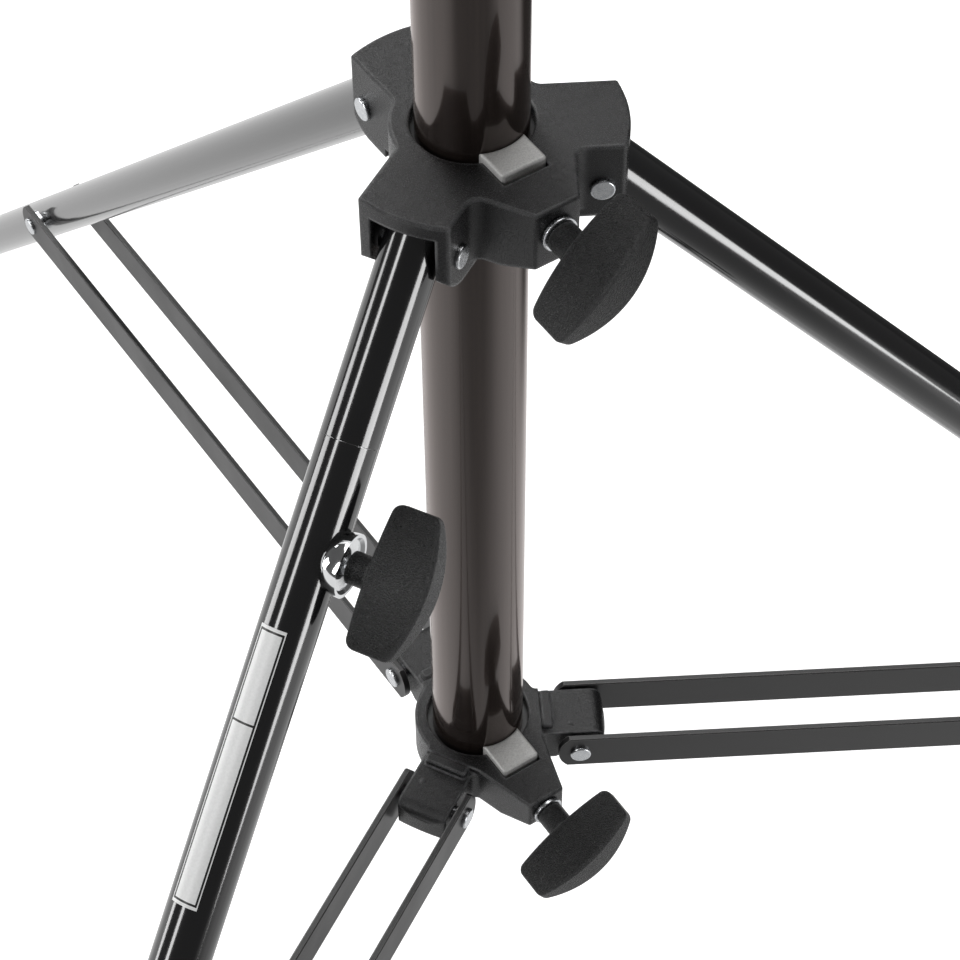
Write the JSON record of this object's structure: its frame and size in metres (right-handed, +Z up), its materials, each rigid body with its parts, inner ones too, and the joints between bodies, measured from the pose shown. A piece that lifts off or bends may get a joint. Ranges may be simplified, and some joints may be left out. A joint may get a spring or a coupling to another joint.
{
  "type": "lighting stand",
  "caption": "Heavy-duty telescopic lighting stand: folding tripod base with double spreader bars, a levelling leg, clamped riser tubes and a spigot on top.",
  "frame": {"origin": "on the floor plane under the column axis, with the tripod open", "axes": "+Z up along the column, +X towards the foot of leg B; leg A (levelling) at -120 degrees and leg C at +120 degrees about +Z"},
  "size_m": [1.0019, 1.1524, 1.5472],
  "materials": {
    "tube_black": "glossy black chrome plate on aluminium tube",
    "leg_gloss": "high-gloss black anodised aluminium tube",
    "tube_bare": "drawn aluminium",
    "casting_black": "die-cast alloy with satin black powder coat",
    "bar_black": "satin black painted flat bar",
    "pad_cast": "raw cast aluminium",
    "knob_plastic": "fine-grained black moulded nylon",
    "plastic_black": "smooth black moulded plastic",
    "rubber_black": "matt black rubber",
    "zinc": "bright zinc-plated steel",
    "chrome": "polished chrome",
    "spigot_steel": "turned steel",
    "brass_tip": "plain brass",
    "label_foil": "blank silver label film"
  },
  "bodies": {
    "brace_collar": {"brace_collar": "casting_black", "brace_collar_bush": "plastic_black"},
    "column": {"column_tube": "tube_black", "column_end_plug": "plastic_black", "riser_clamp_1": "casting_black"},
    "riser_1": {"riser_1_tube": "tube_black", "riser_1_piston": "plastic_black", "riser_clamp_2": "casting_black"},
    "riser_2": {"riser_2_tube": "tube_black", "riser_2_piston": "plastic_black", "top_socket": "casting_black"},
    "top_spigot": {"top_spigot": "spigot_steel"},
    "top_socket_knob": {"top_socket_screw": "zinc", "top_socket_knob": "knob_plastic"},
    "leg_collar": {"leg_collar": "casting_black", "leg_collar_bush": "plastic_black", "leg_pivot_washers": "plastic_black"},
    "leg_collar_pad": {"leg_collar_pad": "pad_cast"},
    "leg_collar_knob": {"leg_collar_screw": "zinc", "leg_collar_knob": "knob_plastic"},
    "brace_collar_pad": {"brace_collar_pad": "pad_cast"},
    "brace_collar_knob": {"brace_collar_screw": "zinc", "brace_collar_knob": "knob_plastic"},
    "riser_clamp_1_pad": {"riser_clamp_1_pad": "pad_cast"},
    "riser_clamp_1_knob": {"riser_clamp_1_screw": "zinc", "riser_clamp_1_knob": "knob_plastic"},
    "riser_clamp_2_pad": {"riser_clamp_2_pad": "pad_cast"},
    "riser_clamp_2_knob": {"riser_clamp_2_screw": "zinc", "riser_clamp_2_knob": "knob_plastic"},
    "leg_b": {"leg_b_tube": "leg_gloss", "leg_b_end_plug": "plastic_black", "leg_b_pivot_pin": "zinc", "leg_b_foot": "rubber_black", "leg_b_brace_pin": "zinc"},
    "leg_c": {"leg_c_tube": "leg_gloss", "leg_c_end_plug": "plastic_black", "leg_c_pivot_pin": "zinc", "leg_c_foot": "rubber_black", "leg_c_brace_pin": "zinc"},
    "leg_a_upper": {"leg_a_upper_tube": "leg_gloss", "leg_a_inner_tube": "tube_bare", "leg_a_end_plug": "plastic_black", "leg_a_pivot_pin": "zinc", "leg_a_brace_pin": "zinc"},
    "leg_a_lower": {"leg_a_lower_tube": "leg_gloss", "leg_a_foot": "rubber_black", "leg_a_saddle": "chrome", "leg_a_label": "label_foil"},
    "leg_a_lock_pad": {"leg_a_lock_pad": "brass_tip"},
    "leg_a_lock_knob": {"leg_a_lock_screw": "zinc", "leg_a_lock_knob": "knob_plastic"},
    "brace_b": {"brace_b_bars": "bar_black", "brace_b_collar_pin": "zinc", "brace_b_rivets": "zinc"},
    "brace_c": {"brace_c_bars": "bar_black", "brace_c_collar_pin": "zinc", "brace_c_rivets": "zinc"},
    "brace_a": {"brace_a_bars": "bar_black", "brace_a_collar_pin": "zinc", "brace_a_rivets": "zinc"}
  },
  "joints": [
    {"name": "column_height", "type": "slide", "parent": "brace_collar", "child": "column", "axis": [0, 0, 1], "range_m": [-0.165, 0]},
    {"name": "riser_1_height", "type": "slide", "parent": "column", "child": "riser_1", "axis": [0, 0, 1], "range_m": [0, 0.9]},
    {"name": "riser_2_height", "type": "slide", "parent": "riser_1", "child": "riser_2", "axis": [0, 0, 1], "range_m": [0, 0.9]},
    {"name": "spigot_lift", "type": "slide", "parent": "riser_2", "child": "top_spigot", "axis": [0, 0, 1], "range_m": [0, 0.045]},
    {"name": "leg_fold", "type": "slide", "parent": "brace_collar", "child": "leg_collar", "axis": [0, 0, 1], "range_m": [0, 0.57963]},
    {"name": "leg_b_swing", "type": "hinge", "parent": "leg_collar", "child": "leg_b", "pos_m": [0.04915, 0, 0.5926], "axis": [0, 1, 0], "range_deg": [0, 45.85]},
    {"name": "brace_b_swing", "type": "hinge", "parent": "brace_collar", "child": "brace_b", "pos_m": [0.0505, 0, 0.2035], "axis": [0, -1, 0], "range_deg": [0, 90.92]},
    {"name": "leg_c_swing", "type": "hinge", "parent": "leg_collar", "child": "leg_c", "pos_m": [-0.02457, 0.04257, 0.5926], "axis": [-0.866, -0.5, 0], "range_deg": [0, 45.85]},
    {"name": "brace_c_swing", "type": "hinge", "parent": "brace_collar", "child": "brace_c", "pos_m": [-0.02525, 0.04373, 0.2035], "axis": [0.866, 0.5, 0], "range_deg": [0, 90.92]},
    {"name": "leg_a_swing", "type": "hinge", "parent": "leg_collar", "child": "leg_a_upper", "pos_m": [-0.02457, -0.04257, 0.5926], "axis": [0.866, -0.5, 0], "range_deg": [0, 45.85]},
    {"name": "leg_a_level", "type": "slide", "parent": "leg_a_upper", "child": "leg_a_lower", "axis": [0.3585, 0.6209, 0.6972], "range_m": [-0.05, 0]},
    {"name": "brace_a_swing", "type": "hinge", "parent": "brace_collar", "child": "brace_a", "pos_m": [-0.02525, -0.04373, 0.2035], "axis": [-0.866, 0.5, 0], "range_deg": [0, 90.92]},
    {"name": "leg_collar_pad_travel", "type": "slide", "parent": "leg_collar", "child": "leg_collar_pad", "axis": [0.5, -0.866, 0], "range_m": [0, 0.0014]},
    {"name": "leg_collar_knob_turn", "type": "hinge", "parent": "leg_collar_pad", "child": "leg_collar_knob", "pos_m": [0.035, -0.06062, 0.601], "axis": [0.5, -0.866, 0], "range_deg": [0, 340]},
    {"name": "brace_collar_pad_travel", "type": "slide", "parent": "brace_collar", "child": "brace_collar_pad", "axis": [0.5, -0.866, 0], "range_m": [0, 0.0014]},
    {"name": "brace_collar_knob_turn", "type": "hinge", "parent": "brace_collar_pad", "child": "brace_collar_knob", "pos_m": [0.035, -0.06062, 0.2072], "axis": [0.5, -0.866, 0], "range_deg": [0, 340]},
    {"name": "riser_clamp_1_pad_travel", "type": "slide", "parent": "column", "child": "riser_clamp_1_pad", "axis": [0.5, -0.866, 0], "range_m": [0, 0.0014]},
    {"name": "riser_clamp_1_knob_turn", "type": "hinge", "parent": "riser_clamp_1_pad", "child": "riser_clamp_1_knob", "pos_m": [0.035, -0.06062, 1.309], "axis": [0.5, -0.866, 0], "range_deg": [0, 340]},
    {"name": "riser_clamp_2_pad_travel", "type": "slide", "parent": "riser_1", "child": "riser_clamp_2_pad", "axis": [0.5, -0.866, 0], "range_m": [0, 0.0014]},
    {"name": "riser_clamp_2_knob_turn", "type": "hinge", "parent": "riser_clamp_2_pad", "child": "riser_clamp_2_knob", "pos_m": [0.035, -0.06062, 1.391], "axis": [0.5, -0.866, 0], "range_deg": [0, 340]},
    {"name": "leg_a_lock_pad_travel", "type": "slide", "parent": "leg_a_lower", "child": "leg_a_lock_pad", "axis": [0.866, -0.5, 0], "range_m": [0, 0.0014]},
    {"name": "leg_a_lock_knob_turn", "type": "hinge", "parent": "leg_a_lock_pad", "child": "leg_a_lock_knob", "pos_m": [-0.05242, -0.13079, 0.50476], "axis": [0.866, -0.5, 0], "range_deg": [0, 340]},
    {"name": "top_socket_knob_turn", "type": "hinge", "parent": "riser_2", "child": "top_socket_knob", "pos_m": [0.02, -0.03464, 1.487], "axis": [0.5, -0.866, 0], "range_deg": [0, 360]}
  ],
  "couplings": [
    {"joint": "leg_a_swing", "follows": "leg_fold", "rad_per_m": 1.3791},
    {"joint": "brace_a_swing", "follows": "leg_fold", "rad_per_m": 2.7363},
    {"joint": "leg_b_swing", "follows": "leg_fold", "rad_per_m": 1.3791},
    {"joint": "brace_b_swing", "follows": "leg_fold", "rad_per_m": 2.7363},
    {"joint": "leg_c_swing", "follows": "leg_fold", "rad_per_m": 1.3791},
    {"joint": "brace_c_swing", "follows": "leg_fold", "rad_per_m": 2.7363},
    {"joint": "leg_collar_knob_turn", "follows": "leg_collar_pad_travel", "rad_per_m": 4188.8},
    {"joint": "brace_collar_knob_turn", "follows": "brace_collar_pad_travel", "rad_per_m": 4188.8},
    {"joint": "riser_clamp_1_knob_turn", "follows": "riser_clamp_1_pad_travel", "rad_per_m": 4188.8},
    {"joint": "riser_clamp_2_knob_turn", "follows": "riser_clamp_2_pad_travel", "rad_per_m": 4188.8},
    {"joint": "leg_a_lock_knob_turn", "follows": "leg_a_lock_pad_travel", "rad_per_m": 4188.8}
  ]
}
